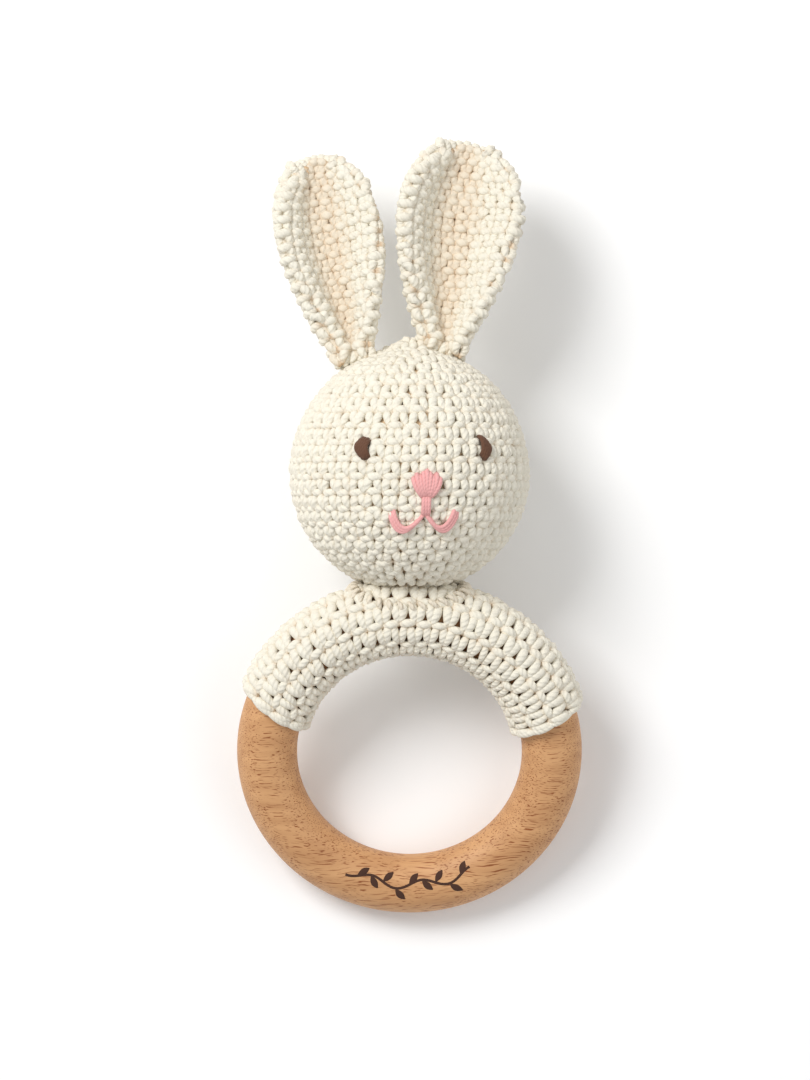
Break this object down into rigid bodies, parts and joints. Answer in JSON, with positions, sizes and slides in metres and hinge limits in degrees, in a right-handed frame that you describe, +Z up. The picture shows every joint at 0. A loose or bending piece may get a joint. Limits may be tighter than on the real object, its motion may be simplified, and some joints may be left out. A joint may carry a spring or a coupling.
{
  "type": "teething ring",
  "caption": "Beech teething ring with a crocheted cotton sleeve and a stuffed, crocheted bunny-head rattle with two cupped ears.",
  "frame": {"origin": "middle of the footprint, on the surface that the toy lies on", "axes": "+Z up out of the face, +Y from the ring towards the ears, +X to the right of someone looking down at the face"},
  "size_m": [0.07, 0.1568, 0.0501],
  "materials": {
    "cotton_yarn": "matte undyed cotton yarn, crocheted",
    "beech": "sanded and oiled beech",
    "brown_thread": "brown embroidery yarn",
    "pink_thread": "pink embroidery yarn",
    "filling": "carded fibre filling",
    "capsule_plastic": "moulded white plastic",
    "pellet_steel": "plain steel shot"
  },
  "bodies": {
    "ring": {"beech_ring": "beech"},
    "sleeve": {"sleeve_crochet": "cotton_yarn", "sleeve_seam_yarn": "cotton_yarn"},
    "head": {"head_crochet_shell": "cotton_yarn", "neck_sewing_yarn": "cotton_yarn", "stuffing_upper": "filling", "stuffing_lower": "filling", "rattle_capsule_front": "capsule_plastic", "rattle_capsule_back": "capsule_plastic", "ear_left_sewing_yarn": "cotton_yarn", "ear_right_sewing_yarn": "cotton_yarn", "eye_left": "brown_thread", "eye_right": "brown_thread", "nose": "pink_thread", "mouth_stem": "pink_thread", "mouth_left": "pink_thread", "mouth_right": "pink_thread"},
    "ear_left": {"ear_left_crochet": "cotton_yarn"},
    "ear_right": {"ear_right_crochet": "cotton_yarn"},
    "bead_1": {"rattle_bead_1": "pellet_steel"},
    "bead_2": {"rattle_bead_2": "pellet_steel"},
    "bead_3": {"rattle_bead_3": "pellet_steel"},
    "bead_4": {"rattle_bead_4": "pellet_steel"}
  },
  "joints": [
    {"name": "ring_turn", "type": "hinge", "parent": "ring", "child": "sleeve", "pos_m": [0, -0.04509, 0.01489], "axis": [0, -0.3256, 0.9455], "continuous": true},
    {"name": "head_nod", "type": "hinge", "parent": "sleeve", "child": "head", "pos_m": [0, -0.01777, 0.0243], "axis": [1, 0, 0], "range_deg": [-10, 30]},
    {"name": "ear_left_flop", "type": "hinge", "parent": "head", "child": "ear_left", "pos_m": [-0.01131, 0.03515, 0.024], "axis": [1, 0, 0], "range_deg": [-45, 45], "stiffness_Nm_per_rad": 0.008},
    {"name": "ear_right_flop", "type": "hinge", "parent": "head", "child": "ear_right", "pos_m": [0.00696, 0.0369, 0.024], "axis": [1, 0, 0], "range_deg": [-45, 45], "stiffness_Nm_per_rad": 0.008},
    {"name": "bead_1_roll", "type": "slide", "parent": "head", "child": "bead_1", "axis": [0, 0, 1], "range_m": [0, 0.01166]},
    {"name": "bead_2_roll", "type": "slide", "parent": "head", "child": "bead_2", "axis": [0, 0, 1], "range_m": [0, 0.01166]},
    {"name": "bead_3_roll", "type": "slide", "parent": "head", "child": "bead_3", "axis": [0, 0, 1], "range_m": [0, 0.01166]},
    {"name": "bead_4_roll", "type": "slide", "parent": "head", "child": "bead_4", "axis": [0, 0, 1], "range_m": [0, 0.01166]}
  ]
}
